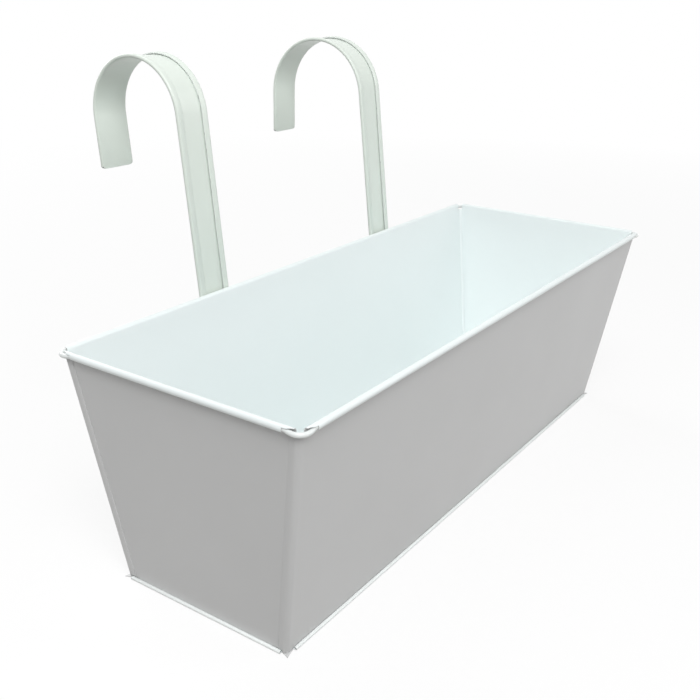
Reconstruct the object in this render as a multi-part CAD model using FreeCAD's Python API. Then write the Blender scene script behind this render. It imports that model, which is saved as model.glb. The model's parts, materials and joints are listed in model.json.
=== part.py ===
import FreeCAD, Part
import math
import os

from FreeCAD import Vector

# Hanging rail trough of folded sheet steel with two hemmed strap hooks.
# Millimetres. The origin is the middle of the floor's underside, +X runs along
# the trough, +Y points to the back, where the hooks are, and +Z is up.

# Trough, over the rolled rim and over the walls where they would meet the ground
rim_length = 400.0
rim_width = 150.0
rim_height = 129.0
base_length = 369.0
base_width = 106.0

# Sheet, and the paint film that keeps lapped sheets apart
sheet = 0.5
lap_gap = 0.05

# Rim: wire, and the sheet rolled round it
wire_diameter = 2.4
wire_clearance = 0.05
curl_turn = 300.0        # degrees of sheet round the wire
lip_turn = 140.0         # degrees of it that reach into a corner, cut off slantwise
rim_notch = 11.0         # bare wire on each side of a corner
wire_corner_radius = 5.0
wire_sway = 4.0          # length in which the bare wire swings out to the corner
wire_corner_drop = 0.7   # bare wire below the middle of the bead

# Corners: the long panels bend round them and lap over the end panels
corner_bend_inner = 2.0
corner_lap = 5.5         # strip on the end wall, from the long wall's outer face
corner_lap_drop = 0.8    # strip's upper end below the bead
corner_lip_gap = 0.3     # rim lip to the corner bend

# Bottom seam: the floor's edge folded over the walls' foot flanges
seam_reach = 2.0         # out from the wall
seam_play = 0.1          # above and below the foot flange
seam_wall_gap = 0.2      # fold's edge to the wall
seam_corner_gap = 5.0    # open corner of the long seams
seam_end_gap = 3.0       # open corner of the end seams
seam_lap_gap = 0.4       # end seams to the corner strips, notched round them
foot_flange_inset = 3.0  # flange ends, inside the ends of the seam
floor_ear_inset = 1.2    # corner ear's tip, inside the seam's outer corner

# Hooks: strap with both edges hemmed to the outside, bent to a J
hook_spacing = 172.0
strap_width = 23.5
strap_sheet = 0.8
hem_width = 4.2
hem_gap = 0.6            # inside the folded hem
hem_bevel_angle = 45.0   # pressed edge of the fold
left_hook_rise = 100.0   # rim wire to the bend's centre, along the strap
right_hook_rise = 97.5
left_bend_inner = 31.5   # the straps are bent by hand, each a little differently
right_bend_inner = 36.0
left_bend_turn = 179.0   # degrees
right_bend_turn = 173.0
hook_leg = 29.0          # straight end after the bend
hook_end_radius = 3.0
lip_reach = 5.0          # lip under the sleeve, from its bend
lip_bend_inner = 0.6
lip_side_gap = 1.0       # lip's side to the hem
strap_play = 0.3         # strap to the bead, the sleeve and the lip's seat

# Sleeves: folded keepers for the straps on the back wall
sleeve_sheet = 0.8
sleeve_depth = 7.2       # wall to the inside of the sleeve's back
sleeve_height = 25.0
sleeve_drop = 12.0       # bead to the sleeve's upper end
sleeve_flange = 9.0
sleeve_bend_inner = 0.6

# Derived sizes
bead_radius = wire_diameter / 2 + wire_clearance + sheet
bead_z = rim_height - bead_radius
corner_bend_outer = corner_bend_inner + sheet
seam_height = 3 * sheet + 2 * seam_play
seam_fold = seam_height / 2
wall_foot_z = sheet + seam_play
hem_height = 2 * strap_sheet + hem_gap
hem_bevel = hem_height / 2 * (1 - math.tan(math.radians(hem_bevel_angle / 2)))
lip_width = strap_width - 2 * (hem_width + lip_side_gap)
beyond = rim_length      # reach of a cutting block past the object


class Leaning:
    """Face that leans out to +Y and meets the ground at y = foot.

    A place on it is (x, out, up): out is square to the face, up runs along it
    from the ground.
    """

    def __init__(self, foot, lean):
        self.foot = foot
        self.lean = lean

    def point(self, x, out, up):
        across = self.foot + out * math.cos(self.lean) + up * math.sin(self.lean)
        return Vector(x, across, up * math.cos(self.lean) - out * math.sin(self.lean))

    def up_vector(self, length):
        return Vector(0, math.sin(self.lean) * length, math.cos(self.lean) * length)

    def up_at(self, spot):
        """How far up the face a place lies."""
        return (spot.y - self.foot) * math.sin(self.lean) + spot.z * math.cos(self.lean)


class Wall(Leaning):
    """Outer face of a wall that faces +Y, with its bead along X at the top."""

    def __init__(self, rim_size, base_size):
        foot = base_size / 2
        axis_out = rim_size / 2 - bead_radius - foot
        self.bead_out = bead_radius - sheet
        reach = math.hypot(axis_out, bead_z)
        super().__init__(foot, math.atan2(axis_out, bead_z) - math.asin(self.bead_out / reach))
        self.bead_up = math.sqrt(reach**2 - self.bead_out**2)
        self.rim = rim_size / 2

    def half_at(self, z, out=0.0):
        """Distance from the middle plane, at height z, of the face moved out."""
        return self.foot + z * math.tan(self.lean) + out / math.cos(self.lean)

    def slab(self, inner, outer, top):
        """Block between two depths of the wall, up to a height along it."""
        corners = [(inner, -beyond), (outer, -beyond), (outer, top), (inner, top)]
        face = flat_face([self.point(-beyond, out, up) for out, up in corners])
        return face.extrude(Vector(2 * beyond, 0, 0))


def strap_face(wall):
    """Front face of a strap between the bead and the lower edge of the sleeve's back."""
    bead = wall.point(0, wall.bead_out, wall.bead_up)
    across = wall.point(0, sleeve_depth, sleeve_foot(wall)) - bead
    room = bead_radius + strap_play + hem_height + strap_play
    lean = -math.atan2(across.z, across.y) - math.acos(room / across.Length)
    off_bead = bead_radius + strap_play
    return Leaning(bead.y + (off_bead - bead.z * math.sin(lean)) / math.cos(lean), lean)


def sleeve_foot(wall):
    return wall.bead_up - bead_radius - sleeve_drop - sleeve_height


long_wall = Wall(rim_width, base_width)
end_wall = Wall(rim_length, base_length)
strap = strap_face(long_wall)


class Bend:
    """Bend of a strap over the rail, about a line along X."""

    def __init__(self, rise, inner, turn):
        self.turn = turn
        self.up = strap.up_at(long_wall.point(0, long_wall.bead_out, long_wall.bead_up)) + rise
        self.centre = strap.point(0, inner + hem_height, self.up)

    def drawn_over(self, section):
        return section.revolve(self.centre, Vector(1, 0, 0), -self.turn)

    def carried_over(self, shape):
        copy = shape.copy()
        copy.rotate(self.centre, Vector(1, 0, 0), -self.turn)
        return copy


left_bend = Bend(left_hook_rise, left_bend_inner, left_bend_turn)
right_bend = Bend(right_hook_rise, right_bend_inner, right_bend_turn)


def flat_face(points):
    return Part.Face(Part.makePolygon(points + points[:1]))


def rounded_outline(corners, place):
    """Closed wire through corners (a, b, radius), each turned by an arc."""
    turns = []
    for index, (a, b, radius) in enumerate(corners):
        here = Vector(a, b, 0)
        before = Vector(*corners[index - 1][:2], 0) - here
        after = Vector(*corners[(index + 1) % len(corners)][:2], 0) - here
        before.normalize()
        after.normalize()
        half = before.getAngle(after) / 2
        reach = radius / math.tan(half)
        middle = (before + after).normalize() * (radius / math.sin(half) - radius)
        turns.append((here + before * reach, here + middle, here + after * reach, radius))
    edges = []
    for index, (start, middle, end, radius) in enumerate(turns):
        last = turns[index - 1][2]
        if last.distanceToPoint(start) > 1e-6:
            edges.append(Part.LineSegment(place(last), place(start)).toShape())
        if radius > 0:
            edges.append(Part.Arc(place(start), place(middle), place(end)).toShape())
    return Part.Wire(edges)


def rounded_face(corners, place):
    return Part.Face(rounded_outline(corners, place))


def tapered_block(half_x, half_y, low, high):
    """Block with four leaning sides, from their half sizes at a height."""
    x, y, top_x, top_y = half_x(low), half_y(low), half_x(high), half_y(high)
    block = Part.makeWedge(-x, low, -y, -top_y, -top_x, x, high, y, top_y, top_x)
    block.rotate(Vector(0, 0, 0), Vector(1, 0, 0), 90)
    return block


def round_corners(block, radius):
    upright = [edge for edge in block.Edges if abs(edge.tangentAt(edge.FirstParameter).z) > 0.5]
    return block.makeFillet(radius, upright)


def joined(first, *others):
    return first.fuse(list(others)).removeSplitter()


def turned(shape, degrees):
    copy = shape.copy()
    copy.rotate(Vector(0, 0, 0), Vector(0, 0, 1), degrees)
    return copy


def curl(wall, half_length, turn):
    """Sheet rolled from the wall's top outwards over the wire."""
    start, end = math.pi, math.pi - math.radians(turn)

    def at(radius, angle):
        out = wall.bead_out + radius * math.cos(angle)
        return wall.point(-half_length, out, wall.bead_up + radius * math.sin(angle))

    inner = bead_radius - sheet
    middle = (start + end) / 2
    edges = [
        Part.Arc(at(bead_radius, start), at(bead_radius, middle), at(bead_radius, end)),
        Part.LineSegment(at(bead_radius, end), at(inner, end)),
        Part.Arc(at(inner, end), at(inner, middle), at(inner, start)),
        Part.LineSegment(at(inner, start), at(bead_radius, start)),
    ]
    face = Part.Face(Part.Wire([edge.toShape() for edge in edges]))
    return face.extrude(Vector(2 * half_length, 0, 0))


def rolled_rim(wall, lip_half):
    """Bead along the wall, cut off slantwise over the wire to an inner lip at the corners."""
    lip = curl(wall, lip_half, lip_turn)
    slant = lip_half - half_bead(wall)
    cut = [(0, 0), (-2 * slant, 2 * bead_radius), (slant, 2 * bead_radius), (slant, 0)]
    for side in (1, -1):
        places = [(side * (lip_half + along), wall.bead_out + out) for along, out in cut]
        face = flat_face([wall.point(x, out, wall.bead_up - 2 * bead_radius) for x, out in places])
        lip = lip.cut(face.extrude(wall.up_vector(4 * bead_radius)))
    return curl(wall, half_bead(wall), curl_turn).fuse(lip)


def half_bead(wall):
    across = end_wall if wall is long_wall else long_wall
    return across.rim - rim_notch


def foot_flange(wall, half_length):
    """Strip turned out from the wall's foot into the bottom seam."""
    inner = wall.half_at(wall_foot_z, -sheet)
    outer = wall.foot + seam_reach - seam_fold
    corner = Vector(-half_length, inner, wall_foot_z)
    return Part.makeBox(2 * half_length, outer - inner, sheet, corner)


def half_seam(wall):
    """Half the length of the folded seam along a wall's foot."""
    if wall is long_wall:
        return end_wall.foot - seam_corner_gap
    return long_wall.foot - seam_end_gap


def make_long_panel():
    """Back panel: wall, bent corners and the strips lapped on the end walls."""
    lap = lap_gap + sheet
    outside = tapered_block(
        lambda z: end_wall.half_at(z, lap), long_wall.half_at, wall_foot_z, rim_height
    )
    inside = tapered_block(
        lambda z: end_wall.half_at(z, lap_gap),
        lambda z: long_wall.half_at(z, -sheet),
        wall_foot_z,
        rim_height,
    )
    skin = round_corners(outside, corner_bend_outer).cut(round_corners(inside, corner_bend_inner))
    panel = skin.common(long_wall.slab(-corner_lap, sheet, long_wall.bead_up))

    lip_half = end_wall.half_at(bead_z, lap) - corner_bend_outer - corner_lip_gap
    lap_top = rim_height - 2 * bead_radius - corner_lap_drop
    for corner_x in (lip_half, -lip_half - beyond):
        notch = Part.makeBox(beyond, 2 * beyond, beyond, Vector(corner_x, -beyond, lap_top))
        panel = panel.cut(notch)
    strip_y = half_seam(end_wall) + seam_lap_gap
    strip_foot = seam_height + seam_lap_gap
    panel = panel.cut(Part.makeBox(2 * beyond, beyond, strip_foot, Vector(-beyond, strip_y - beyond, 0)))
    flange = foot_flange(long_wall, half_seam(long_wall) - foot_flange_inset)
    return joined(panel, rolled_rim(long_wall, lip_half), flange)


def make_end_panel():
    """End panel that faces +Y, between the two long panels."""

    def half_plate(z):
        return long_wall.half_at(z, -corner_bend_outer - lap_gap)

    block = tapered_block(half_plate, end_wall.half_at, wall_foot_z, rim_height)
    plate = block.common(end_wall.slab(-sheet, sheet, end_wall.bead_up))
    flange = foot_flange(end_wall, half_seam(end_wall) - foot_flange_inset)
    return joined(plate, rolled_rim(end_wall, half_plate(bead_z)), flange)


def make_base_pan():
    """Floor sheet with its four edges folded over, open at the corners."""
    fold_x = end_wall.foot + seam_reach - seam_fold
    fold_y = long_wall.foot + seam_reach - seam_fold
    seam_x, seam_y = half_seam(long_wall), half_seam(end_wall)
    ear = seam_reach - floor_ear_inset
    ear_x, ear_y = end_wall.foot + ear, long_wall.foot + ear
    quarter = [
        (fold_x, seam_y),
        (end_wall.foot, seam_y),
        (ear_x, ear_y),
        (seam_x, long_wall.foot),
        (seam_x, fold_y),
    ]
    points = []
    for sign_x, sign_y in ((1, 1), (-1, 1), (-1, -1), (1, -1)):
        side = [Vector(sign_x * x, sign_y * y, 0) for x, y in quarter]
        points += side if sign_x * sign_y > 0 else side[::-1]
    pan = flat_face(points).extrude(Vector(0, 0, sheet))
    folds = []
    for wall, first_turn in ((long_wall, 0), (end_wall, -90)):
        folds += [turned(seam_fold_over(wall), first_turn + half) for half in (0, 180)]
    return joined(pan, *folds)


def seam_fold_over(wall):
    """Floor's edge turned up and back over the foot flange of a +Y wall."""
    half = half_seam(wall)
    fold_at = wall.foot + seam_reach - seam_fold
    lip_at = wall.half_at(seam_height, seam_wall_gap)

    def place(spot):
        return Vector(-half, spot.x, spot.y)

    outer = wall.foot + seam_reach
    inner_radius = seam_fold - sheet
    corners = [
        (fold_at, 0, 0),
        (outer, 0, seam_fold),
        (outer, seam_height, seam_fold),
        (lip_at, seam_height, 0),
        (lip_at, seam_height - sheet, 0),
        (outer - sheet, seam_height - sheet, inner_radius),
        (outer - sheet, sheet, inner_radius),
        (fold_at, sheet, 0),
    ]
    return rounded_face(corners, place).extrude(Vector(2 * half, 0, 0))


def make_rim_wire():
    """Closed ring, straight in the beads and swung out round each corner."""
    mitred = 1
    swing = bead_radius - wire_diameter / 2
    corner_x, corner_y = end_wall.rim - bead_radius, long_wall.rim - bead_radius
    bare = rim_notch - bead_radius - wire_clearance
    turn = wire_corner_radius - swing
    edges = []
    for index in range(4):
        along, across = (corner_y, corner_x) if index % 2 == 0 else (corner_x, corner_y)
        edges += [turned(edge, 90 * index) for edge in wire_quarter(along, across, bare, turn, swing)]
    path = Part.Wire(Part.__sortEdges__(edges))
    section = Part.Wire(Part.makeCircle(wire_diameter / 2, Vector(corner_x, 0, bead_z), Vector(0, 1, 0)))
    ring = path.makePipeShell([section], True, False, mitred)
    return ring if ring.Volume > 0 else ring.reversed()


def wire_quarter(half_run, half_across, bare, turn, swing):
    """Half a side along +Y, the corner, and half of the next side."""
    sides = [
        (Vector(half_across, 0, bead_z), Vector(0, 1, 0), Vector(1, 0, 0), half_run),
        (Vector(0, half_run, bead_z), Vector(1, 0, 0), Vector(0, 1, 0), half_across),
    ]
    edges = []
    turn_ends = []
    drop = Vector(0, 0, wire_corner_drop)
    for middle, along, outward, corner in sides:
        leave = middle + along * (corner - bare)
        meet = leave + along * wire_sway + outward * swing - drop
        turn_end = middle + along * (corner - turn) + outward * swing - drop
        edges += Part.makePolygon([middle, leave, meet, turn_end]).Edges
        turn_ends.append(turn_end)
    first_end, last_end = turn_ends
    centre = Vector(last_end.x, first_end.y, first_end.z)
    diagonal = Vector(1, 1, 0).normalize() * wire_corner_radius
    edges.append(Part.Arc(first_end, centre + diagonal, last_end).toShape())
    return edges


def make_sleeve():
    """Folded keeper with a spot-welded flange on each side of the strap."""
    inner = strap_width / 2 + strap_play
    outer = inner + sleeve_sheet
    tip = outer + sleeve_flange
    low, high = lap_gap, lap_gap + sleeve_sheet
    tight, wide = sleeve_bend_inner, sleeve_bend_inner + sleeve_sheet
    half = [
        (inner, sleeve_depth, tight),
        (inner, low, wide),
        (tip, low, 0),
        (tip, high, 0),
        (outer, high, tight),
        (outer, sleeve_depth + sleeve_sheet, wide),
    ]
    mirrored = [(-x, out, radius) for x, out, radius in reversed(half)]
    foot = sleeve_foot(long_wall)

    def place(spot):
        return long_wall.point(spot.x, spot.y, foot)

    return rounded_face(half + mirrored, place).extrude(long_wall.up_vector(sleeve_height))


def strap_section(up):
    """Strap across its width, with both edges folded over to the outside and pressed."""
    edge = strap_width / 2
    right = [
        (edge - strap_sheet, hem_height - strap_sheet),
        (edge - strap_sheet, strap_sheet),
        (edge - hem_width, strap_sheet),
        (edge - hem_width, 0),
        (edge - hem_bevel, 0),
        (edge, hem_bevel),
        (edge, hem_height - hem_bevel),
        (edge - hem_bevel, hem_height),
    ]
    left = [(-x, out) for x, out in reversed(right)]
    return flat_face([strap.point(x, out, up) for x, out in right + left])


def make_hook(bend):
    """Strap up behind the rim, bent over to the back, with a lip at its foot."""
    lip_top = strap.up_at(long_wall.point(0, sleeve_depth, sleeve_foot(long_wall))) - strap_play
    hem_end = lip_top + lip_bend_inner
    straight = strap_section(hem_end).extrude(strap.up_vector(bend.up - hem_end))
    section = strap_section(bend.up)
    leg = section.extrude(strap.up_vector(hook_leg)).common(leg_blank(bend.up))
    return joined(straight, bend.drawn_over(section), bend.carried_over(leg), hook_lip(lip_top, hem_end))


def leg_blank(low):
    """Block over the strap's last length, with rounded corners at the free end."""
    edge = strap_width / 2
    high = low + hook_leg
    corners = [
        (-edge, low, 0),
        (edge, low, 0),
        (edge, high, hook_end_radius),
        (-edge, high, hook_end_radius),
    ]

    def place(spot):
        return strap.point(spot.x, 0, spot.y)

    through = strap.point(0, hem_height, 0) - strap.point(0, 0, 0)
    return rounded_face(corners, place).extrude(through)


def hook_lip(lip_top, hem_end):
    """Tongue below the hems, turned out under the sleeve."""
    web_back = hem_height
    web_front = web_back - strap_sheet
    tip = web_back + lip_bend_inner + lip_reach
    corners = [
        (web_front, hem_end, 0),
        (web_back, hem_end, 0),
        (web_back, lip_top, lip_bend_inner),
        (tip, lip_top, 0),
        (tip, lip_top - strap_sheet, 0),
        (web_front, lip_top - strap_sheet, lip_bend_inner + strap_sheet),
    ]

    def place(spot):
        return strap.point(-lip_width / 2, spot.x, spot.y)

    return rounded_face(corners, place).extrude(Vector(lip_width, 0, 0))


def beside(shape, x):
    copy = shape.copy()
    copy.translate(Vector(x, 0, 0))
    return copy


def make_parts():
    long_panel = make_long_panel()
    end_panel = make_end_panel()
    sleeve = make_sleeve()
    left, right = -hook_spacing / 2, hook_spacing / 2
    return {
        "front_panel": turned(long_panel, 180),
        "back_panel": long_panel,
        "left_end_panel": turned(end_panel, 90),
        "right_end_panel": turned(end_panel, -90),
        "base_pan": make_base_pan(),
        "rim_wire": make_rim_wire(),
        "left_hook_sleeve": beside(sleeve, left),
        "right_hook_sleeve": beside(sleeve, right),
        "left_hook": beside(make_hook(left_bend), left),
        "right_hook": beside(make_hook(right_bend), right),
    }


os.makedirs("parts", exist_ok=True)
for node, shape in make_parts().items():
    shape.exportStep(f"parts/{node}.step")
    box = shape.BoundBox
    print(f"{node}: {len(shape.Solids)} solid, valid {shape.isValid()}, {shape.Volume:.1f} mm3, "
          f"x {box.XMin:.2f} {box.XMax:.2f}, y {box.YMin:.2f} {box.YMax:.2f}, z {box.ZMin:.2f} {box.ZMax:.2f}")

print(f"wall lean: long {math.degrees(long_wall.lean):.3f}, end {math.degrees(end_wall.lean):.3f} degrees")
print(f"strap lean: {math.degrees(strap.lean):.3f} degrees, direction: {strap.up_vector(1.0)}")
print(f"bend centres: left {left_bend.centre}, right {right_bend.centre}")
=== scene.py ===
"""Hanging rail trough of folded, enamelled sheet steel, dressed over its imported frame.

Sizes are millimetres and become metres where a mesh is made. +X runs along the
trough, +Y points to the back, where the hooks are, and +Z is up.
"""

import json
import logging
import math
from dataclasses import dataclass, field
from enum import Enum
from typing import Any

import bmesh
import bpy
from bpy.types import Material, Mesh, Node, NodeSocket, NodeTree, Object
from mathutils import Color, Matrix, Vector

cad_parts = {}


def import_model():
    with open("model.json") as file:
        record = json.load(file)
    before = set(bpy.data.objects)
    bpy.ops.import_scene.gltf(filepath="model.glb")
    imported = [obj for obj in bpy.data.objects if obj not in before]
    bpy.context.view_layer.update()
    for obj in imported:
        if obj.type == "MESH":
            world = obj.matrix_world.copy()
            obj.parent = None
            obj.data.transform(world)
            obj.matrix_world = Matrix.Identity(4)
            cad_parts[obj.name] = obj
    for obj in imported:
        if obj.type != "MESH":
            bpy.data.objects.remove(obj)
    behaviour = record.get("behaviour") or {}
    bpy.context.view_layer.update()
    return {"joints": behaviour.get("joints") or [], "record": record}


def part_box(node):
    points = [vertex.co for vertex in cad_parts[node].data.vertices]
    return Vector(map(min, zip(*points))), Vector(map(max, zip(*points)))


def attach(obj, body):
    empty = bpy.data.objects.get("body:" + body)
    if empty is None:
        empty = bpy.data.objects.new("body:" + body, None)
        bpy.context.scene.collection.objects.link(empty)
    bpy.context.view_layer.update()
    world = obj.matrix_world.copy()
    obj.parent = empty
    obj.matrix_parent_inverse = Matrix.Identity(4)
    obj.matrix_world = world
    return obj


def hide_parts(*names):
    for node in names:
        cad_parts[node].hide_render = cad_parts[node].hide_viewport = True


logging.basicConfig(level=logging.INFO, format="%(message)s")
LOG = logging.getLogger("rail_trough")

MM = 0.001
ENAMEL_IOR = 1.5
STRAP_EDGE_ROUND = 0.18
Flat = tuple[float, float]
Grid = list[list[Vector | None]]


class Facing(Enum):
    """Turn about Z, in degrees, that brings a +Y wall to its side of the trough."""

    BACK = 0
    FRONT = 180
    LEFT = 90
    RIGHT = -90

    @property
    def is_long(self) -> bool:
        """Whether the wall on this side is a long one."""
        return self in (Facing.FRONT, Facing.BACK)


class Hand(Enum):
    """Side that a hook is on, with the degrees to which its strap was bent by hand."""

    LEFT = 179.0
    RIGHT = 173.0


def linear(shade: str) -> tuple[float, float, float, float]:
    """Turn an sRGB colour, given as "#rrggbb", into linear light with a full alpha."""
    parts = [byte / 255 for byte in bytes.fromhex(shade[1:])]
    return (*Color(parts).from_srgb_to_scene_linear(), 1.0)


def add_node(tree: NodeTree, kind: str, inputs: dict | None = None, **settings: Any) -> Node:
    """Add a node with its settings, and give its inputs their values or links.

    Args:
        tree: Shader or geometry node tree.
        kind: Blender's type name of the node.
        inputs: Input names or numbers, each with a value or the output that feeds it.
        **settings: Properties of the node itself.

    Returns:
        The new node.
    """
    made = tree.nodes.new(kind)
    for key, value in settings.items():
        setattr(made, key, value)
    for key, value in (inputs or {}).items():
        if isinstance(value, NodeSocket):
            tree.links.new(value, made.inputs[key])
        else:
            made.inputs[key].default_value = value
    return made


def as_plain_mesh(piece: Object, sharp: float = 38.0) -> Object:
    """Bake a piece's modifiers into its mesh and shade it smooth.

    Args:
        piece: Mesh object with live modifiers.
        sharp: Angle in degrees from which an edge stays sharp.

    Returns:
        The same object with a plain mesh.
    """
    bpy.context.view_layer.update()
    graph = bpy.context.evaluated_depsgraph_get()
    baked = bpy.data.meshes.new_from_object(piece.evaluated_get(graph))
    baked.name = piece.name
    piece.modifiers.clear()
    piece.data = baked
    baked.shade_smooth()
    baked.set_sharp_from_angle(angle=math.radians(sharp))
    return piece


def new_piece(name: str, data: Mesh) -> Object:
    """Put a mesh into the scene as an object at the origin.

    Args:
        name: Name of the object.
        data: Its mesh.

    Returns:
        The object.
    """
    piece = bpy.data.objects.new(name, data)
    bpy.context.scene.collection.objects.link(piece)
    return piece


def new_line(name: str, spots: list[Vector] | list[Flat], closed: bool = False) -> Object:
    """Put a line into the scene as an object that has edges only.

    Args:
        name: Name of the object.
        spots: Spots along the line in millimetres, flat ones at height 0.
        closed: Whether the last spot joins the first.

    Returns:
        The object.
    """
    count = len(spots)
    links = [(step, (step + 1) % count) for step in range(count if closed else count - 1)]
    data = bpy.data.meshes.new(name)
    data.from_pydata([Vector(spot).to_3d() * MM for spot in spots], links, [])
    return new_piece(name, data)


def outward_skin(piece: Object) -> Object:
    """Turn every face of a closed piece outwards.

    Args:
        piece: Mesh object.

    Returns:
        The same object.
    """
    skin = bmesh.new()
    skin.from_mesh(piece.data)
    bmesh.ops.recalc_face_normals(skin, faces=skin.faces)
    skin.to_mesh(piece.data)
    skin.free()
    return piece


def arc(middle: Flat, radius: float, start: float, end: float, steps: int) -> list[Flat]:
    """Step along an arc in a plane.

    Args:
        middle: Middle of the circle.
        radius: Its radius.
        start: Direction of the first spot, in degrees.
        end: Direction of the last spot.
        steps: Steps between them.

    Returns:
        The spots.
    """
    x, y = middle
    turns = [math.radians(start + (end - start) * step / steps) for step in range(steps + 1)]
    return [(x + radius * math.cos(turn), y + radius * math.sin(turn)) for turn in turns]


def both_halves(half: list[Vector | None]) -> list[Vector | None]:
    """Mirror a row that runs out from the middle plane, so that it covers both sides."""
    other = [spot and Vector((-spot.x, spot.y, spot.z)) for spot in reversed(half[1:])]
    return other + half


def in_each_quarter(run: list[Vector]) -> list[list[Vector]]:
    """Mirror a run of spots from the +X +Y quarter into all four.

    Args:
        run: Spots that turn from +X towards +Y.

    Returns:
        Four runs that follow each other round.
    """
    runs = []
    for x_side, y_side in ((1, 1), (-1, 1), (-1, -1), (1, -1)):
        mirrored = [Vector((x_side * spot.x, y_side * spot.y, spot.z)) for spot in run]
        runs.append(mirrored if x_side == y_side else mirrored[::-1])
    return runs


def new_material(name: str) -> tuple[Material, NodeTree]:
    """Make a material without nodes.

    Args:
        name: Name of the material.

    Returns:
        The material and its node tree.
    """
    made = bpy.data.materials.new(name)
    made.use_nodes = True
    made.node_tree.nodes.clear()
    return made, made.node_tree


def noise(tree: NodeTree, size: float, detail: float, roughness: float = 0.5) -> NodeSocket:
    """Add a noise that is fixed to the piece, with patches of a size in millimetres."""
    place = add_node(tree, "ShaderNodeTexCoord").outputs["Object"]
    return add_node(tree, "ShaderNodeTexNoise", {
        "Vector": place, "Scale": 1 / (size * MM), "Detail": detail, "Roughness": roughness,
    }).outputs[0]


def blend(tree: NodeTree, share: NodeSocket, first: str, second: str) -> NodeSocket:
    """Add a blend of two colours, with the given share of the second."""
    inputs = {0: share, 6: linear(first), 7: linear(second)}
    return add_node(tree, "ShaderNodeMix", inputs, data_type="RGBA").outputs[2]


def seen_ray(tree: NodeTree) -> NodeSocket:
    """Add a value that is 1 to the camera and to reflections, and 0 to light on its way.

    Args:
        tree: Node tree of a material or the world.

    Returns:
        The value.
    """
    ray = add_node(tree, "ShaderNodeLightPath").outputs
    seen = ray["Is Camera Ray"]
    for other in ("Is Glossy Ray", "Is Transmission Ray"):
        inputs = {0: seen, 1: ray[other]}
        seen = add_node(tree, "ShaderNodeMath", inputs, operation="MAXIMUM").outputs[0]
    return seen


@dataclass(frozen=True)
class Enamel:
    """Stoved enamel sprayed on steel: an even, slightly orange-peeled semi-gloss skin.

    It gives the eye soft broad highlights that swim a little, and a shade that
    clouds slightly where the coat is thinner.

    Attributes:
        name: Name of the material.
        shade: Colour of the full coat.
        thin_shade: Colour where the coat is thinner.
        roughness: Middle of the surface's roughness.
        roughness_swing: How far thin coat is rougher than that, and full coat smoother.
        cloud_size: Width of a patch of thinner coat.
        peel_size: Width of an orange-peel dimple, drawn coarser than its real 1 mm to show.
        peel_height: Depth of such a dimple.
    """

    name: str
    shade: str
    thin_shade: str
    roughness: float = 0.3
    roughness_swing: float = 0.05
    cloud_size: float = 70.0
    peel_size: float = 2.6
    peel_height: float = 0.006

    def material(self) -> Material:
        """Build the finish from its nodes.

        Returns:
            The material.
        """
        made, tree = new_material(self.name)
        cloud = noise(tree, self.cloud_size, detail=3.0, roughness=0.55)
        gloss = add_node(tree, "ShaderNodeMapRange", {
            0: cloud,
            3: self.roughness + self.roughness_swing,
            4: self.roughness - self.roughness_swing,
        })
        peel = noise(tree, self.peel_size, detail=1.0)
        bump = add_node(tree, "ShaderNodeBump", {
            "Strength": 1.0, "Distance": self.peel_height * MM, "Height": peel,
        })
        skin = add_node(tree, "ShaderNodeBsdfPrincipled", {
            "Base Color": blend(tree, cloud, self.thin_shade, self.shade),
            "Roughness": gloss.outputs[0],
            "IOR": ENAMEL_IOR,
            "Normal": bump.outputs[0],
        })
        add_node(tree, "ShaderNodeOutputMaterial", {"Surface": skin.outputs[0]})
        return made


@dataclass(frozen=True)
class ShearedEdge:
    """Cut edge of sheet steel under a thin run-back coat: the steel greys it in spots.

    Attributes:
        name: Name of the material.
        shade: Colour of the thin coat.
        steel_shade: Colour where the steel shows.
        roughness: Surface's roughness.
        spot_size: Width of a spot.
        spot_rise: Noise at which a spot begins.
        spot_full: Noise from which it is all steel.
    """

    name: str
    shade: str
    steel_shade: str
    roughness: float = 0.45
    spot_size: float = 3.0
    spot_rise: float = 0.55
    spot_full: float = 0.7

    def material(self) -> Material:
        """Build the finish from its nodes.

        Returns:
            The material.
        """
        made, tree = new_material(self.name)
        spots = noise(tree, self.spot_size, detail=4.0)
        bare = add_node(tree, "ShaderNodeMapRange", {
            0: spots, 1: self.spot_rise, 2: self.spot_full,
        })
        skin = add_node(tree, "ShaderNodeBsdfPrincipled", {
            "Base Color": blend(tree, bare.outputs[0], self.shade, self.steel_shade),
            "Roughness": self.roughness,
            "IOR": ENAMEL_IOR,
        })
        add_node(tree, "ShaderNodeOutputMaterial", {"Surface": skin.outputs[0]})
        return made


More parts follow.
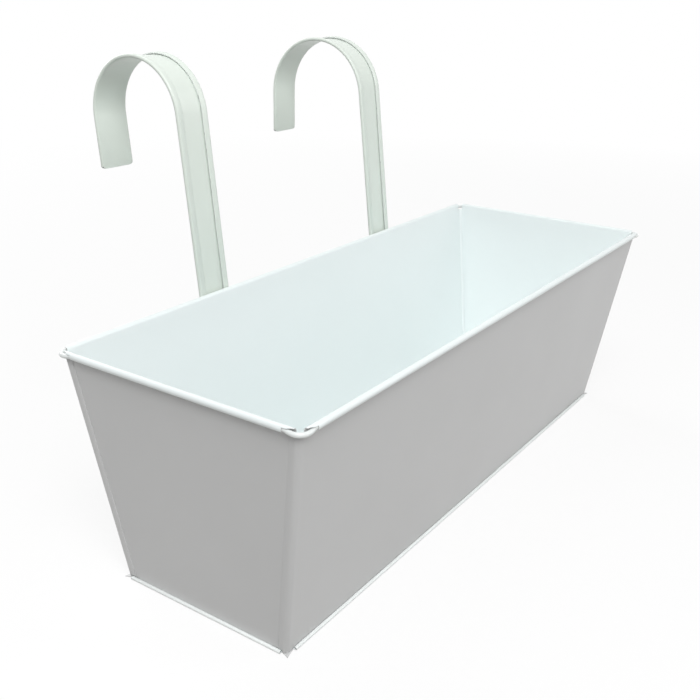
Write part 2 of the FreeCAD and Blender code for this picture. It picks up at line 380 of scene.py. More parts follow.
@dataclass(frozen=True)
class StudioPaper:
    """Matt white paper under the trough, close to white in the picture but with its shadow.

    Attributes:
        name: Name of the material.
        shade: Colour of the paper to the light that it throws back.
        seen_shade: Colour of the paper to the camera and in reflections.
        wash: Share of plain white that they see in it near the trough.
        near: Distance from the middle to which that share holds, in metres.
        far: Distance from which they see plain white, in metres.
    """

    name: str
    shade: str
    seen_shade: str = "#fbfbfb"
    wash: float = 0.8
    near: float = 0.3
    far: float = 1.4

    def material(self) -> Material:
        """Build the finish from its nodes.

        Returns:
            The material.
        """
        made, tree = new_material(self.name)
        seen = seen_ray(tree)
        spot = add_node(tree, "ShaderNodeTexCoord").outputs["Object"]
        away = add_node(tree, "ShaderNodeVectorMath", {0: spot}, operation="LENGTH")
        share = add_node(tree, "ShaderNodeMapRange", {
            0: away.outputs["Value"], 1: self.near, 2: self.far, 3: self.wash, 4: 1.0,
        })
        wash = add_node(tree, "ShaderNodeMath", {
            0: seen, 1: share.outputs[0],
        }, operation="MULTIPLY")
        paper = add_node(tree, "ShaderNodeBsdfDiffuse", {
            "Color": blend(tree, seen, self.shade, self.seen_shade),
        })
        white = add_node(tree, "ShaderNodeEmission", {"Strength": 1.0})
        both = add_node(tree, "ShaderNodeMixShader", {
            0: wash.outputs[0], 1: paper.outputs[0], 2: white.outputs[0],
        })
        add_node(tree, "ShaderNodeOutputMaterial", {"Surface": both.outputs[0]})
        return made


@dataclass
class Paints:
    """Finishes of the whole trough, made once."""

    outside: Material
    inside: Material
    wire: Material
    pan: Material
    hook: Material
    edge: Material

    @classmethod
    def mixed(cls) -> "Paints":
        """Make every finish."""
        return cls(
            outside=Enamel("stoved_enamel_outside", "#d2d3d3", "#cdcece").material(),
            inside=Enamel("stoved_enamel_inside", "#f1f7f7", "#edf4f4").material(),
            wire=Enamel("stoved_enamel_wire", "#eef2f1", "#e8edec", cloud_size=25.0).material(),
            # Whiter enamel on the floor pan's outer side: partly its own paint, partly a painted
            # highlight on the folded seams' tops, standing in for light from above.
            pan=Enamel("stoved_enamel_floor_pan", "#f2f6f5", "#edf2f1").material(),
            hook=Enamel("stoved_enamel_strap", "#e5ede5", "#e0e9e1", cloud_size=40.0).material(),
            edge=ShearedEdge("thin_enamel_sheared_edge", "#e3e6e5", "#c4c8c6").material(),
        )


class NodeDrawing:
    """Geometry node tree with named inputs that ends in real, painted geometry."""

    def __init__(self, name: str, **kinds: str) -> None:
        """Begin a tree that takes a geometry, a finish and other inputs.

        Args:
            name: Name of the tree.
            **kinds: Names of the other inputs, with the kinds of their sockets.
        """
        self.tree = bpy.data.node_groups.new(name, "GeometryNodeTree")
        self.names: dict[str, str] = {}
        face = self.tree.interface
        face.new_socket("geometry", in_out="INPUT", socket_type="NodeSocketGeometry")
        for key, kind in {**kinds, "finish": "Material"}.items():
            socket = face.new_socket(key, in_out="INPUT", socket_type=f"NodeSocket{kind}")
            self.names[key] = socket.identifier
        face.new_socket("geometry", in_out="OUTPUT", socket_type="NodeSocketGeometry")
        self.given = add_node(self.tree, "NodeGroupInput").outputs

    def finish(self, shape: NodeSocket) -> None:
        """End the tree with a shape, made real and painted.

        Args:
            shape: What the tree has drawn.
        """
        real = add_node(self.tree, "GeometryNodeRealizeInstances", {"Geometry": shape})
        painted = add_node(self.tree, "GeometryNodeSetMaterial", {
            "Geometry": real.outputs[0], "Material": self.given["finish"],
        })
        add_node(self.tree, "NodeGroupOutput", {0: painted.outputs[0]})

    def drawn_on(self, piece: Object, **values: Any) -> Object:
        """Run the tree on a piece, and keep the plain mesh that comes out.

        Args:
            piece: Object with the geometry to start from.
            **values: Value of each named input.

        Returns:
            The same object.
        """
        drawn = piece.modifiers.new(self.tree.name, "NODES")
        drawn.node_group = self.tree
        for key, value in values.items():
            drawn[self.names[key]] = value
        return as_plain_mesh(piece)


def bent_sweep(
    line: Object, radii: list[float], arc_steps: int, section: Object, finish: Material,
) -> Object:
    """Bend a line at its corners and draw a section along it, with a node tree.

    Args:
        line: Object with the line.
        radii: Bend radius at each spot of the line, in millimetres.
        arc_steps: Steps of each bend.
        section: Object with the section, which is used up.
        finish: Paint of the swept surface.

    Returns:
        The line's object with the surface.
    """
    bends = line.data.attributes.new("bend_radius", "FLOAT", "POINT")
    bends.data.foreach_set("value", [radius * MM for radius in radii])
    drawing = NodeDrawing("section_along_bends", section="Object", arc_steps="Int")
    tree, given = drawing.tree, drawing.given
    radius = add_node(tree, "GeometryNodeInputNamedAttribute", {
        "Name": bends.name,
    }, data_type="FLOAT")
    path = add_node(tree, "GeometryNodeMeshToCurve", {"Mesh": given["geometry"]})
    bent = add_node(tree, "GeometryNodeFilletCurve", {
        "Curve": path.outputs[0],
        "Count": given["arc_steps"],
        "Radius": radius.outputs["Attribute"],
        "Limit Radius": True,
    }, mode="POLY")
    shape = add_node(tree, "GeometryNodeObjectInfo", {"Object": given["section"]})
    profile = add_node(tree, "GeometryNodeMeshToCurve", {"Mesh": shape.outputs["Geometry"]})
    swept = add_node(tree, "GeometryNodeCurveToMesh", {
        "Curve": bent.outputs[0], "Profile Curve": profile.outputs[0],
    })
    drawing.finish(swept.outputs[0])
    drawing.drawn_on(line, section=section, arc_steps=arc_steps, finish=finish)
    bpy.data.objects.remove(section)
    return line


@dataclass
class FoldedSheet:
    """Steel sheet drawn on its middle surface, then given thickness and painted edges.

    Attributes:
        name: Name of the piece.
        thickness: Thickness of the sheet with its paint.
        edge_round: Rounding that the paint gives the sheet's edges.
        edge_steps: Steps of that rounding.
        edge_angle: Angle in degrees from which an edge is rounded.
        weld: Distance under which spots are one.
        drawn: Middle surface so far, in metres.
    """

    name: str
    thickness: float
    edge_round: float = 0.2
    edge_steps: int = 2
    edge_angle: float = 50.0
    weld: float = 0.03
    drawn: bmesh.types.BMesh = field(default_factory=bmesh.new)

    def lay(self, rows: Grid) -> None:
        """Lay a grid of spots, leaving out each quad that misses a corner.

        Args:
            rows: Rows of spots in millimetres, all of one length.
        """
        knots = [[spot and self.drawn.verts.new(spot * MM) for spot in row] for row in rows]
        for low, high in zip(knots, knots[1:]):
            for quad in zip(low, low[1:], high[1:], high):
                if all(quad):
                    self.drawn.faces.new(quad)

    def lay_flat(self, outline: list[Vector]) -> None:
        """Lay one flat face inside an outline."""
        self.drawn.faces.new([self.drawn.verts.new(spot * MM) for spot in outline])

    def folded(self, outward: Vector, finishes: list[Material], turn: float = 0.0) -> Object:
        """Close the sheet into a solid skin.

        Args:
            outward: Direction that the outside of its largest face looks in.
            finishes: Finishes of the outside, the inside and the cut edges.
            turn: Turn about Z in degrees, made last.

        Returns:
            The finished piece.
        """
        drawn = self.drawn
        bmesh.ops.remove_doubles(drawn, verts=drawn.verts, dist=self.weld * MM)
        loose = [knot for knot in drawn.verts if not knot.link_faces]
        bmesh.ops.delete(drawn, geom=loose, context="VERTS")
        bmesh.ops.recalc_face_normals(drawn, faces=drawn.faces)
        largest = max(drawn.faces, key=lambda face: face.calc_area())
        if largest.normal.dot(outward) < 0:
            bmesh.ops.reverse_faces(drawn, faces=drawn.faces)
        turned = Matrix.Rotation(math.radians(turn), 3, "Z")
        bmesh.ops.rotate(drawn, verts=drawn.verts, matrix=turned)
        data = bpy.data.meshes.new(self.name)
        drawn.to_mesh(data)
        drawn.free()
        for finish in finishes:
            data.materials.append(finish)
        for face in data.polygons:
            face.material_index = 0
        piece = new_piece(self.name, data)
        solid = piece.modifiers.new("Thickness", "SOLIDIFY")
        solid.thickness = self.thickness * MM
        solid.offset = 0.0
        solid.use_even_offset = True
        solid.use_quality_normals = True
        solid.material_offset = 1
        solid.material_offset_rim = 2
        soft = piece.modifiers.new("Painted edges", "BEVEL")
        soft.width = self.edge_round * MM
        soft.segments = self.edge_steps
        soft.limit_method = "ANGLE"
        soft.angle_limit = math.radians(self.edge_angle)
        return as_plain_mesh(piece)


@dataclass(frozen=True)
class Wall:
    """Outer face of a wall that faces +Y, leans out and carries its bead at the top.

    Attributes:
        foot: Distance from the middle plane to the face at the ground.
        lean: Lean of the face, in radians.
        bead_out: Bead's axis, square out from the face.
        bead_up: Bead's axis, up along the face from the ground.
        rim: Distance from the middle plane to the bead's outside.
    """

    foot: float
    lean: float
    bead_out: float
    bead_up: float
    rim: float

    def point(self, x: float, out: float, up: float) -> Vector:
        """Place a spot given along, square out from and up along the face."""
        across = self.foot + out * math.cos(self.lean) + up * math.sin(self.lean)
        return Vector((x, across, up * math.cos(self.lean) - out * math.sin(self.lean)))

    def half_at(self, z: float, out: float = 0.0) -> float:
        """Distance from the middle plane, at height z, of the face moved out."""
        return self.foot + z * math.tan(self.lean) + out / math.cos(self.lean)

    @property
    def out(self) -> Vector:
        """Direction square out from the face."""
        return Vector((0, math.cos(self.lean), -math.sin(self.lean)))


@dataclass
class Trough:
    """Four leaning walls with a wired rim, and the floor folded over their feet."""

    paint: Paints
    rim_length: float = 400.0
    rim_width: float = 150.0
    rim_height: float = 129.0
    base_length: float = 369.0
    base_width: float = 106.0
    sheet: float = 0.5
    lap_gap: float = 0.05
    bead_radius: float = 1.75
    curl_turn: int = 300
    lip_turn: int = 140
    curl_step: int = 10
    rim_notch: float = 11.0
    corner_bend: float = 2.5
    bend_steps: int = 8
    corner_lap: float = 5.5
    corner_lap_drop: float = 0.8
    corner_lap_sink: float = 0.3
    corner_lip_gap: float = 0.3
    seam_reach: float = 2.0
    seam_height: float = 1.7
    seam_play: float = 0.1
    seam_wall_gap: float = 0.2
    seam_corner_gap: float = 5.0
    seam_end_gap: float = 3.0
    seam_lap_gap: float = 0.4
    flange_inset: float = 3.0
    floor_ear_inset: float = 0.3
    seam_steps: int = 12
    wave_height: float = 0.096
    wave_length: float = 95.0
    cross_wave_share: float = 0.7
    cross_wave_pitch: float = 0.43
    cross_wave_slant: float = 4.0
    patch: float = 8.0

    def __post_init__(self) -> None:
        """Lean the walls between the rim and the base, and set the seams' ends and heights."""
        self.bead_z = self.rim_height - self.bead_radius
        self.long_wall = self.wall(self.rim_width, self.base_width)
        self.end_wall = self.wall(self.rim_length, self.base_length)
        self.foot_z = self.sheet + self.seam_play
        self.flange_z = self.foot_z + self.sheet / 2
        self.fold = self.seam_height / 2
        self.fold_in = self.seam_reach - self.fold
        self.long_seam = self.end_wall.foot - self.seam_corner_gap
        self.end_seam = self.long_wall.foot - self.seam_end_gap
        self.strip_foot = self.seam_height + self.seam_lap_gap

    def wall(self, rim_size: float, base_size: float) -> Wall:
        """Work out a wall from its sizes over the rim and at the ground.

        Args:
            rim_size: Size over the two beads.
            base_size: Size over the two walls at the ground.

        Returns:
            The wall that faces +Y.
        """
        across = rim_size / 2 - self.bead_radius - base_size / 2
        bead_out = self.bead_radius - self.sheet
        reach = math.hypot(across, self.bead_z)
        lean = math.atan2(across, self.bead_z) - math.asin(bead_out / reach)
        return Wall(base_size / 2, lean, bead_out, math.sqrt(reach**2 - bead_out**2), rim_size / 2)

    def walls(self, facing: Facing) -> tuple[Wall, Wall]:
        """Wall on a side of the trough, and the wall beside it."""
        walls = (self.long_wall, self.end_wall)
        return walls if facing.is_long else walls[::-1]

    def heights(self, facing: Facing) -> list[float]:
        """Heights of a wall's rows, with one at the foot of a long wall's lap strips.

        Args:
            facing: Side of the trough.

        Returns:
            Heights from the foot flange to the rolled edge.
        """
        top = self.rim_height - 2 * self.bead_radius - self.corner_lap_drop
        if not facing.is_long:
            top = self.end_wall.point(0, 0, self.end_wall.bead_up).z - self.bead_radius
        rise = top - self.flange_z
        count = round(rise / self.patch)
        levels = [self.flange_z + rise * step / count for step in range(count + 1)]
        return [self.flange_z, self.strip_foot, *levels[1:]] if facing.is_long else levels

    def columns(self, facing: Facing) -> list[Flat]:
        """Places of a wall's columns, from its middle to one end.

        Args:
            facing: Side of the trough.

        Returns:
            Place of each at the ground and at the bead, the last one beyond flange and bead.
        """
        _, beside = self.walls(facing)
        bead = beside.rim - self.rim_notch
        if facing.is_long:
            flange = self.long_seam - self.flange_inset
            lip = beside.half_at(self.bead_z, self.lap_gap + self.sheet)
            lip -= self.corner_bend + self.corner_lip_gap
            last = (flange + lip - bead, lip)
        else:
            flange = self.end_seam - self.flange_inset
            inset = -self.corner_bend - self.lap_gap
            last = (beside.half_at(0, inset), beside.half_at(self.bead_z, inset))
        count = round(bead / self.patch)
        shares = [step / count for step in range(count + 1)]
        return [(flange * share, bead * share) for share in shares] + [last]

    def wave(self, x: float, half: float, share: float, phase: float) -> float:
        """Slight unevenness of a thin wall, still at its edges.

        Args:
            x: Place along the wall.
            half: Half the wall's length there.
            share: Height as a share of the wall's.
            phase: Where the waves begin, different for each wall.

        Returns:
            How far the sheet stands out there.
        """
        still = max(0.0, 1 - (x / half) ** 4) * 4 * share * (1 - share)
        along = math.tau * x / self.wave_length
        cross = self.cross_wave_pitch * along + self.cross_wave_slant * share + 2 * phase
        swell = math.sin(along + phase) + self.cross_wave_share * math.sin(cross)
        return self.wave_height * still * swell

    def curl(self, wall: Wall, columns: list[Flat]) -> Grid:
        """Halves of the rows rolled from a wall's top outwards over the wire.

        Args:
            wall: Wall under the rim.
            columns: Places along the wall, of which the bead's end and the lip's are the last.

        Returns:
            The halves, from the wall's middle to its end.
        """
        rows = []
        radius = self.bead_radius - self.sheet / 2
        *_, (_, bead), (_, lip) = columns
        for turned in range(0, self.curl_turn + 1, self.curl_step):
            angle = math.pi - math.radians(turned)
            out = wall.bead_out + radius * math.cos(angle)
            up = wall.bead_up + radius * math.sin(angle)
            slant = max(0.0, math.cos(angle)) * radius / self.bead_radius
            limit = lip + (bead - lip) * slant
            half = [wall.point(min(top, limit), out, up) for _, top in columns]
            if turned > self.lip_turn:
                half[-1] = None
            rows.append(half)
        return rows

    def panel(self, facing: Facing, wave_phase: float | None = None) -> Object:
        """Fold a wall, which laps on the walls beside it where it is a long one.

        Args:
            facing: Side of the trough.
            wave_phase: Where the sheet's waves begin, or None for a flat sheet.

        Returns:
            The panel.
        """
        wall, beside = self.walls(facing)
        columns = self.columns(facing)
        tip = wall.foot + self.fold_in
        halves = [[Vector((foot, tip, self.flange_z)) for foot, _ in columns[:-1]]]
        for z in self.heights(facing):
            share = z / self.bead_z
            half = []
            for foot, top in columns:
                x = foot + (top - foot) * share
                spot = Vector((x, wall.half_at(z, -self.sheet / 2), z))
                if wave_phase is not None:
                    spot.y += self.wave(x, beside.half_at(z), share, wave_phase)
                half.append(spot)
            if facing.is_long:
                if z == self.flange_z:
                    # Past the flange's end, the sheet reaches down to the flange's underside.
                    half[-1] -= Vector((0, math.tan(wall.lean), 1)) * (self.sheet / 2)
                half += self.corner(half[-1].z)
            halves.append(half)
        halves += self.curl(wall, columns)
        width = max(len(half) for half in halves)
        kind = "wall" if facing.is_long else "end_wall"
        sheet = FoldedSheet(f"{facing.name.lower()}_{kind}", self.sheet)
        sheet.lay([both_halves(half + [None] * (width - len(half))) for half in halves])
        finishes = [self.paint.outside, self.paint.inside, self.paint.outside]
        return sheet.folded(wall.out, finishes, facing.value)

    def corner(self, z: float) -> list[Vector | None]:
        """Spots of the sheet round a corner of the trough and across its lap strip, at a height.

        Args:
            z: Height, below which the strip makes room for the end seam.

        Returns:
            Spots from the wall to the strip's edge.
        """
        wall, end = self.long_wall, self.end_wall
        middle = self.corner_bend - self.sheet / 2
        centre_x = end.half_at(z, self.lap_gap + self.sheet) - self.corner_bend
        centre_y = wall.half_at(z) - self.corner_bend
        bend = arc((centre_x, centre_y), middle, 90, 0, self.bend_steps)
        edge_x = centre_x + middle - self.corner_lap_sink
        edge = Vector((edge_x, wall.half_at(z, -self.corner_lap), z))
        has_strip = z >= self.strip_foot - self.lap_gap
        return [Vector((x, y, z)) for x, y in bend] + [edge if has_strip else None]

    def base_pan(self) -> Object:
        """Fold the floor's four edges over the walls' foot flanges, open at the corners.

        Returns:
            The floor.
        """
        long_wall, end_wall = self.long_wall, self.end_wall
        ear = self.seam_reach - self.floor_ear_inset
        quarter = [
            (end_wall.foot + self.fold_in, self.end_seam),
            (end_wall.foot, self.end_seam),
            (end_wall.foot + ear, long_wall.foot + ear),
            (self.long_seam, long_wall.foot),
            (self.long_seam, long_wall.foot + self.fold_in),
        ]
        sheet = FoldedSheet("floor_pan", self.sheet)
        outline = []
        for run in in_each_quarter([Vector((x, y, self.sheet / 2)) for x, y in quarter]):
            sheet.lay_flat(run[1:4])
            del run[2]
            outline += run
        sheet.lay_flat(outline)
        for facing in Facing:
            sheet.lay(self.seam(facing))
        # The outer side, with the seams' tops, takes the whiter enamel as a painted highlight.
        finishes = [self.paint.pan, self.paint.inside, self.paint.outside]
        pan = sheet.folded(Vector((0, 0, -1)), finishes)
        # The corner ears keep the plain outside enamel, without the painted highlight.
        pan.data.materials.append(self.paint.outside)
        seam_x, seam_y = self.long_seam * MM, self.end_seam * MM
        for face in pan.data.polygons:
            if abs(face.center.x) > seam_x and abs(face.center.y) > seam_y:
                face.material_index = len(finishes)
        return pan

    def seam(self, facing: Facing) -> Grid:
        """Floor's edge turned up and back over the foot flange of a wall.

        Args:
            facing: Side of the trough.

        Returns:
            Rows from the floor to the folded edge.
        """
        wall, _ = self.walls(facing)
        half = self.long_seam if facing.is_long else self.end_seam
        turn = Matrix.Rotation(math.radians(facing.value), 3, "Z")
        middle = self.fold - self.sheet / 2
        section = arc((wall.foot + self.fold_in, self.fold), middle, -90, 90, self.seam_steps)
        edge = wall.half_at(self.seam_height, self.seam_wall_gap)
        section.append((edge, self.seam_height - self.sheet / 2))
        return [[turn @ Vector((x, y, z)) for x in (-half, half)] for y, z in section]


@dataclass
class RimWire:
    """Wire in the rolled rim: straight in the beads, swung out and bare round the corners."""

    trough: Trough
    diameter: float = 2.4
    corner_radius: float = 5.0
    corner_drop: float = 0.7
    sway: float = 4.0
    sway_radius: float = 14.0
    clearance: float = 0.05
    arc_steps: int = 10
    round_steps: int = 20

    def path(self) -> list[Vector]:
        """Corners of the wire's closed path.

        Returns:
            Five spots in each quarter, with the trough's own corner in their middle.
        """
        trough = self.trough
        swing = trough.bead_radius - self.diameter / 2
        corner_x = trough.end_wall.rim - trough.bead_radius
        corner_y = trough.long_wall.rim - trough.bead_radius
        bare = trough.rim_notch - trough.bead_radius - self.clearance
        meet = bare - self.sway
        low_z = trough.bead_z - self.corner_drop
        quarter = [
            Vector((corner_x, corner_y - bare, trough.bead_z)),
            Vector((corner_x + swing, corner_y - meet, low_z)),
            Vector((corner_x + swing, corner_y + swing, low_z)),
            Vector((corner_x - meet, corner_y + swing, low_z)),
            Vector((corner_x - bare, corner_y, trough.bead_z)),
        ]
        return [spot for run in in_each_quarter(quarter) for spot in run]

    def build(self) -> Object:
        """Draw the wire.

        Returns:
            The wire as one ring.
        """
        round_wire = arc((0, 0), self.diameter / 2, 0, 360, self.round_steps)[:-1]
        section = new_line("wire_section", round_wire, closed=True)
        path = new_line("rim_ring", self.path(), closed=True)
        sways = [self.sway_radius] * 2
        radii = (sways + [self.corner_radius] + sways) * 4
        finish = self.trough.paint.wire
        return outward_skin(bent_sweep(path, radii, self.arc_steps, section, finish))


@dataclass
class StrapHook:
    """Hemmed strap, bent over to the back, with a lip under its sleeve.

    Attributes:
        paint: Finishes of the trough.
        hand: Side of the trough.
        saddle: Centre of the bend.
        slide: Direction up along the strap.
        bend_inner: Radius inside the bend.
    """

    paint: Paints
    hand: Hand
    saddle: Vector
    slide: Vector
    bend_inner: float
    width: float = 23.5
    sheet: float = 0.8
    hem_width: float = 4.2
    hem_gap: float = 0.6
    hem_tuck: float = 0.35
    hem_steps: int = 6
    leg: float = 29.0
    end_radius: float = 3.0
    lip_reach: float = 5.0
    lip_bend_inner: float = 0.6
    lip_side_gap: float = 1.0
    play: float = 0.3
    flat_top: float = 0.5
    arc_steps: int = 26
    fold_steps: int = 8
    web_steps: int = 3
    lip_steps: int = 6
    end_slack: float = 0.1

    def __post_init__(self) -> None:
        """Set the strap's depth over its hems, and the ways of its back and its free leg."""
        self.depth = 2 * self.sheet + self.hem_gap
        self.back = Vector((0, self.slide.z, -self.slide.y))
        self.web = self.depth - self.sheet / 2
        self.turn = math.radians(self.hand.value)
        self.leg_way = self.back * math.sin(self.turn) + self.slide * math.cos(self.turn)

    def spot(self, x: float, out: float, up: float) -> Vector:
        """Place a spot across the strap, out from its front face and up from the bend's centre."""
        reach = self.bend_inner + self.depth
        return self.saddle + Vector((x, 0, 0)) + self.back * (out - reach) + self.slide * up

    def section(self) -> list[Flat]:
        """Middle of the sheet across the strap.

        Returns:
            Spots from one folded edge to the other.
        """
        edge = self.width / 2
        fold = (self.depth - self.sheet) / 2
        at = edge - self.depth / 2
        right = []
        for step in range(self.hem_steps):
            share = 1 - step / self.hem_steps
            tuck = self.hem_tuck * share**2
            right.append((at - (at - edge + self.hem_width) * share, self.sheet / 2 + tuck))
        right += arc((at, self.depth / 2), fold, -90, 90, self.fold_steps)
        inner = [at - step for step in range(1, self.web_steps + 1)]
        right += [(x, self.web) for x in (*inner, self.lip_half, self.lip_half / 2)]
        return right + [(0.0, self.web)] + [(-x, out) for x, out in reversed(right)]

    @property
    def lip_half(self) -> float:
        """Half the width of the lip, between the hems."""
        return self.width / 2 - self.hem_width - self.lip_side_gap

    def strap(self, foot: float) -> Mesh:
        """Draw the strap's middle surface along its path.

        Args:
            foot: Lower end of the hems, up from the bend's centre.

        Returns:
            The open surface, in metres.
        """
        radius = self.bend_inner + self.depth
        quarter = self.hand.value / 4
        off = radius / math.cos(math.radians(quarter))
        corners = [(0, foot), *arc((radius, 0), off, 180 - quarter, 180 - 3 * quarter, 1)]
        corners.append((
            radius - radius * math.cos(self.turn) + self.leg * math.sin(self.turn),
            radius * math.sin(self.turn) + self.leg * math.cos(self.turn),
        ))
        path = new_line("strap_path", [self.spot(0, out, up) for out, up in corners])
        section = new_line("strap_section", self.section())
        radii = [radius - self.flat_top / 2] * len(corners)
        surface = bent_sweep(path, radii, self.arc_steps, section, self.paint.hook).data
        bpy.data.objects.remove(path)
        return surface

    def build(self, lip_top: float) -> Object:
        """Bend the strap, round its free end and turn out its lip.

        Args:
            lip_top: Upper face of the lip, up from the bend's centre.

        Returns:
            The hook.
        """
        hem_end = lip_top + self.lip_bend_inner
        sheet = FoldedSheet(f"{self.hand.name.lower()}_strap_hook", self.sheet, STRAP_EDGE_ROUND)
        sheet.drawn.from_mesh(self.strap(hem_end))
        self.round_end(sheet.drawn)
        sheet.lay(self.lip(lip_top, hem_end))
        return sheet.folded(-self.back, [self.paint.hook, self.paint.hook, self.paint.edge])

    def round_end(self, drawn: bmesh.types.BMesh) -> None:
        """Round the corners of the strap's free end.

        Args:
            drawn: Middle surface of the strap.
        """
        start = self.width / 2 - self.end_radius
        for knot in drawn.verts:
            from_saddle = knot.co / MM - self.saddle
            past = abs(from_saddle.x) - start
            at_end = from_saddle.dot(self.leg_way) > self.leg - self.end_slack
            if at_end and from_saddle.dot(self.back) > 0 and past > 0:
                short = self.end_radius - math.sqrt(self.end_radius**2 - past**2)
                knot.co -= self.leg_way * short * MM

    def lip(self, top: float, hem_end: float) -> Grid:
        """Rows of the tongue below the hems, turned out under the sleeve.

        Args:
            top: Upper face of the lip.
            hem_end: Lower end of the hems.

        Returns:
            Rows from the strap to the lip's tip.
        """
        bend = self.lip_bend_inner + self.sheet / 2
        section = arc((self.web + bend, hem_end), bend, 180, 270, self.lip_steps)
        section.append((self.depth + self.lip_bend_inner + self.lip_reach, top - self.sheet / 2))
        columns = [self.lip_half * share for share in (-1.0, -0.5, 0.0, 0.5, 1.0)]
        return [[self.spot(x, out, up) for x in columns] for out, up in section]


@dataclass
class HookSleeve:
    """Folded keeper for a strap, spot-welded to the back wall by its two flanges."""

    paint: Paints
    hand: Hand
    wall: Wall
    across: float
    strap_width: float = 23.5
    strap_play: float = 0.3
    sheet: float = 0.8
    depth: float = 7.2
    height: float = 25.0
    drop: float = 12.0
    flange: float = 9.0
    bend_inner: float = 0.6
    bend_steps: int = 6
    bead_radius: float = 1.75
    lap_gap: float = 0.05
    weld_shares: Flat = (0.25, 0.75)

    @property
    def foot(self) -> float:
        """Lower end of the sleeve, up along the wall."""
        return self.wall.bead_up - self.bead_radius - self.drop - self.height

    @property
    def mouth(self) -> Vector:
        """Lower edge of the sleeve's back, where the hook's lip stops."""
        return self.wall.point(0, self.depth, self.foot)

    def section(self) -> list[Flat]:
        """Middle of the sheet round the strap.

        Returns:
            Spots from the strap's middle to the end of one flange.
        """
        bend = self.bend_inner + self.sheet / 2
        side = self.strap_width / 2 + self.strap_play + self.sheet / 2
        back = self.depth + self.sheet / 2
        low = self.lap_gap + self.sheet / 2
        back_bend = arc((side - bend, back - bend), bend, 90, 0, self.bend_steps)
        flange_bend = arc((side + bend, low + bend), bend, 180, 270, self.bend_steps)
        return [(0.0, back), *back_bend, *flange_bend, (side + self.sheet / 2 + self.flange, low)]

    def build(self) -> Object:
        """Fold the sleeve.

        Returns:
            The sleeve.
        """
        half = self.section()
        section = [(-x, out) for x, out in reversed(half[1:])] + half
        rows = []
        for up in (self.foot, self.foot + self.height):
            rows.append([self.wall.point(self.across + x, out, up) for x, out in section])
        sheet = FoldedSheet(f"{self.hand.name.lower()}_sleeve", self.sheet, STRAP_EDGE_ROUND)
        sheet.lay(rows)
        finishes = [self.paint.outside, self.paint.outside, self.paint.edge]
        return sheet.folded(self.wall.out, finishes)

    def weld_spots(self) -> list[Vector]:
        """Places of the spot welds on the two flanges' faces.

        Returns:
            A spot for each weld.
        """
        out = self.lap_gap + self.sheet
        side = self.strap_width / 2 + self.strap_play + self.sheet + self.bend_inner
        middle = side + (self.flange - self.bend_inner) / 2
        columns = (self.across - middle, self.across + middle)
        rows = [self.foot + self.height * share for share in self.weld_shares]
        return [self.wall.point(x, out, up) for x in columns for up in rows]


@dataclass
class WeldMarks:
    """Rings that the welding electrodes left in the sleeves' flanges, under the paint."""

    facing: Vector
    mark_radius: float = 2.3
    ring_radius: float = 0.35
    flatness: float = 0.4
    around: int = 28
    section_steps: int = 10

    def build(self, spots: list[Vector], finish: Material) -> Object:
        """Set a flattened ring on each weld, with a node tree.

        Args:
            spots: Places of the welds.
            finish: Paint over them.

        Returns:
            All the marks as one piece.
        """
        sizes = {
            "mark_radius": self.mark_radius * MM,
            "ring_radius": self.ring_radius * MM,
            "flatness": self.flatness,
        }
        steps = {"around": self.around, "section_steps": self.section_steps}
        kinds = dict.fromkeys(sizes, "Float") | dict.fromkeys(steps, "Int")
        drawing = NodeDrawing("weld_mark_on_each_point", **kinds, facing="Vector")
        tree, given = drawing.tree, drawing.given
        circle = add_node(tree, "GeometryNodeCurvePrimitiveCircle", {
            "Resolution": given["around"], "Radius": given["mark_radius"],
        })
        section = add_node(tree, "GeometryNodeCurvePrimitiveCircle", {
            "Resolution": given["section_steps"], "Radius": given["ring_radius"],
        })
        ring = add_node(tree, "GeometryNodeCurveToMesh", {
            "Curve": circle.outputs[0], "Profile Curve": section.outputs[0],
        })
        squat = add_node(tree, "ShaderNodeCombineXYZ", {"X": 1.0, "Y": 1.0, "Z": given["flatness"]})
        flat = add_node(tree, "GeometryNodeTransform", {
            "Geometry": ring.outputs[0], "Scale": squat.outputs[0],
        })
        turned = add_node(tree, "FunctionNodeAlignRotationToVector", {
            "Vector": given["facing"],
        }, axis="Z")
        marks = add_node(tree, "GeometryNodeInstanceOnPoints", {
            "Points": given["geometry"], "Instance": flat.outputs[0], "Rotation": turned.outputs[0],
        })
        drawing.finish(marks.outputs[0])
        data = bpy.data.meshes.new("weld_spots")
        data.from_pydata([spot * MM for spot in spots], [], [])
        piece = new_piece("weld_marks", data)
        drawing.drawn_on(piece, **sizes, **steps, facing=self.facing, finish=finish)
        return outward_skin(piece)


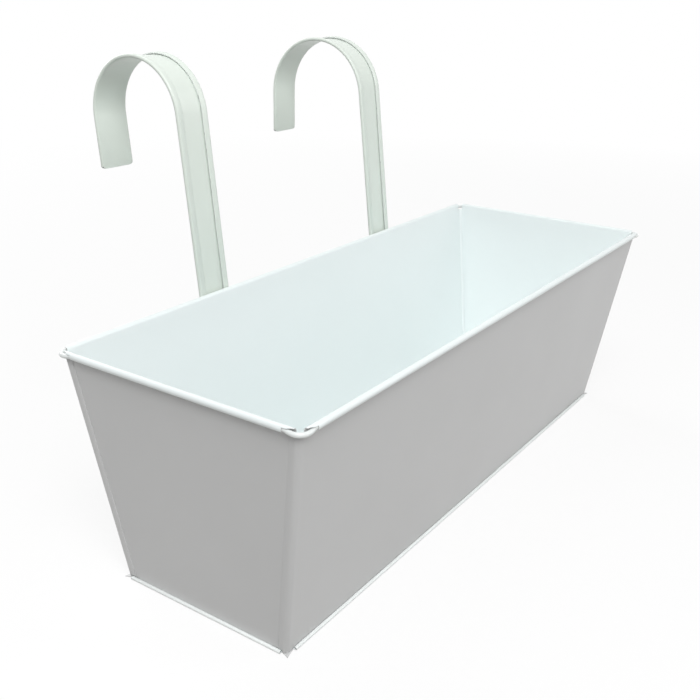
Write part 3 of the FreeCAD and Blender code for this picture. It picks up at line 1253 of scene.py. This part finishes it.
@dataclass
class Studio:
    """Paper floor, softboxes, an even soft sky and the camera of the photograph.

    Attributes:
        eye: Camera's place in millimetres.
        azimuth: Direction that it looks in, from +Y towards +X, in degrees.
        pitch: How far it looks down, in degrees.
        roll: How far its right side is tilted up, in degrees.
        lens: Focal length on a film 36 mm wide, which Blender's cameras have.
        nearest: Nearest distance that the camera sees.
        lit_at: Spot that the softboxes shine at.
        floor_drop: Depth of the paper below the trough's underside.
        sky: Strength of the sky's light, which looks plain white to the eye.
    """

    eye: Vector = field(default_factory=lambda: Vector((-459.12, -275.376, 295.386)))
    azimuth: float = 55.458
    pitch: float = 21.769
    roll: float = 0.858
    lens: float = 47.834
    nearest: float = 10.0
    lit_at: Vector = field(default_factory=lambda: Vector((0, 0, 100)))
    softbox_size: float = 1000.0
    floor_size: float = 9000.0
    floor_drop: float = 0.05
    floor_shade: str = "#b4b2b0"
    sky: float = 0.18

    def camera(self) -> None:
        """Stand the camera where the photograph was taken from."""
        data = bpy.data.cameras.new("camera")
        data.lens = self.lens
        data.clip_start = self.nearest * MM
        made = bpy.data.objects.new("camera", data)
        made.matrix_world = Matrix.Translation(self.eye * MM)
        for turn, axis in ((-self.azimuth, "Z"), (90 - self.pitch, "X"), (self.roll, "Z")):
            made.matrix_world @= Matrix.Rotation(math.radians(turn), 4, axis)
        bpy.context.scene.collection.objects.link(made)
        bpy.context.scene.camera = made

    def floor(self) -> None:
        """Lay the paper that the trough stands on."""
        half = self.floor_size / 2 * MM
        data = bpy.data.meshes.new("studio_floor")
        corners = [(-half, -half), (half, -half), (half, half), (-half, half)]
        data.from_pydata([(x, y, -self.floor_drop * MM) for x, y in corners], [], [(0, 1, 2, 3)])
        data.materials.append(StudioPaper("matt_studio_paper", self.floor_shade).material())
        new_piece("studio_floor", data)

    def sky_light(self) -> None:
        """White all round for the eye and for reflections, and an even soft light for the rest."""
        world = bpy.data.worlds.new("studio")
        world.use_nodes = True
        tree = world.node_tree
        tree.nodes.clear()
        level = add_node(tree, "ShaderNodeMapRange", {0: seen_ray(tree), 3: self.sky, 4: 1.0})
        sky = add_node(tree, "ShaderNodeBackground", {
            "Color": (1, 1, 1, 1), "Strength": level.outputs[0],
        })
        add_node(tree, "ShaderNodeOutputWorld", {"Surface": sky.outputs[0]})
        bpy.context.scene.world = world

    def softbox(self, name: str, place: tuple[float, float, float], watts: float) -> None:
        """Hang a square soft lamp that shines at the trough.

        Args:
            name: Name of the lamp.
            place: Where it hangs, in metres.
            watts: Its power.
        """
        data = bpy.data.lights.new(name, "AREA")
        data.size = self.softbox_size * MM
        data.energy = watts
        made = bpy.data.objects.new(name, data)
        spot = Vector(place)
        aim = (self.lit_at * MM - spot).to_track_quat("-Z", "Y")
        made.matrix_world = Matrix.Translation(spot) @ aim.to_matrix().to_4x4()
        bpy.context.scene.collection.objects.link(made)

    def build(self) -> None:
        """Set up floor, lights and camera."""
        self.floor()
        self.sky_light()
        self.softbox("rear_softbox", place=(0.2, 0.9, 1.4), watts=3.6)
        self.softbox("back_softbox", place=(0.4, 1.6, 0.7), watts=7.0)
        self.softbox("left_softbox", place=(-0.8, 0.1, 1.6), watts=4.2)
        self.softbox("camera_softbox", place=(-0.85, -0.75, 1.4), watts=21.0)
        self.softbox("right_softbox", place=(1.0, -1.4, 0.8), watts=6.8)
        self.camera()
        bpy.context.scene.view_settings.view_transform = "Standard"


def place(piece: Object, node: str, body: str, slot: str) -> None:
    """Let a piece stand for a CAD node, ride its body, and report it.

    Args:
        piece: Finished piece.
        node: CAD node that it stands for.
        body: Body that it moves with.
        slot: Record's material slot; not used.
    """
    low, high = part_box(node)
    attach(piece, body)
    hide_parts(node)
    spots = [knot.co for knot in piece.data.vertices]
    gaps = [min(s[axis] for s in spots) - low[axis] for axis in range(3)]
    gaps += [max(s[axis] for s in spots) - high[axis] for axis in range(3)]
    worst = max(gaps, key=abs) / MM
    count = len(piece.data.polygons)
    LOG.info("%s for %s: %d faces, box within %.2f mm", piece.name, node, count, worst)


def main() -> None:
    """Load the frame, build each sub-assembly in order and set up the studio."""
    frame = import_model()
    paint = Paints.mixed()
    trough = Trough(paint)
    sheets = {
        "front_panel": trough.panel(Facing.FRONT, wave_phase=0.4),
        "back_panel": trough.panel(Facing.BACK),
        "left_end_panel": trough.panel(Facing.LEFT, wave_phase=1.9),
        "right_end_panel": trough.panel(Facing.RIGHT, wave_phase=3.1),
        "base_pan": trough.base_pan(),
    }
    for node, piece in sheets.items():
        place(piece, node, "planter", "trough_paint")
    place(RimWire(trough).build(), "rim_wire", "planter", "wire_paint")

    mounts = {mount["name"]: mount for mount in frame["record"]["mounts"]}
    slides = {joint["child"]: Vector(joint["axis"]).normalized() for joint in frame["joints"]}
    welds = []
    for hand in Hand:
        side = hand.name.lower()
        saddle = mounts[f"{side}_rail_saddle"]
        centre = Vector(saddle["pos_m"]) / MM
        hook = StrapHook(paint, hand, centre, slides[f"{side}_hook"], saddle["dims"]["r_mm"])
        sleeve = HookSleeve(paint, hand, trough.long_wall, centre.x)
        lip_top = (sleeve.mouth - centre).dot(hook.slide) - hook.play
        place(sleeve.build(), f"{side}_hook_sleeve", "planter", "trough_paint")
        place(hook.build(lip_top), f"{side}_hook", f"{side}_hook", "hook_paint")
        welds += sleeve.weld_spots()
    marks = WeldMarks(trough.long_wall.out).build(welds, paint.outside)
    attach(marks, "planter")
    LOG.info("weld_marks: %d marks", len(welds))

    Studio().build()


if __name__ == "__main__":
    main()
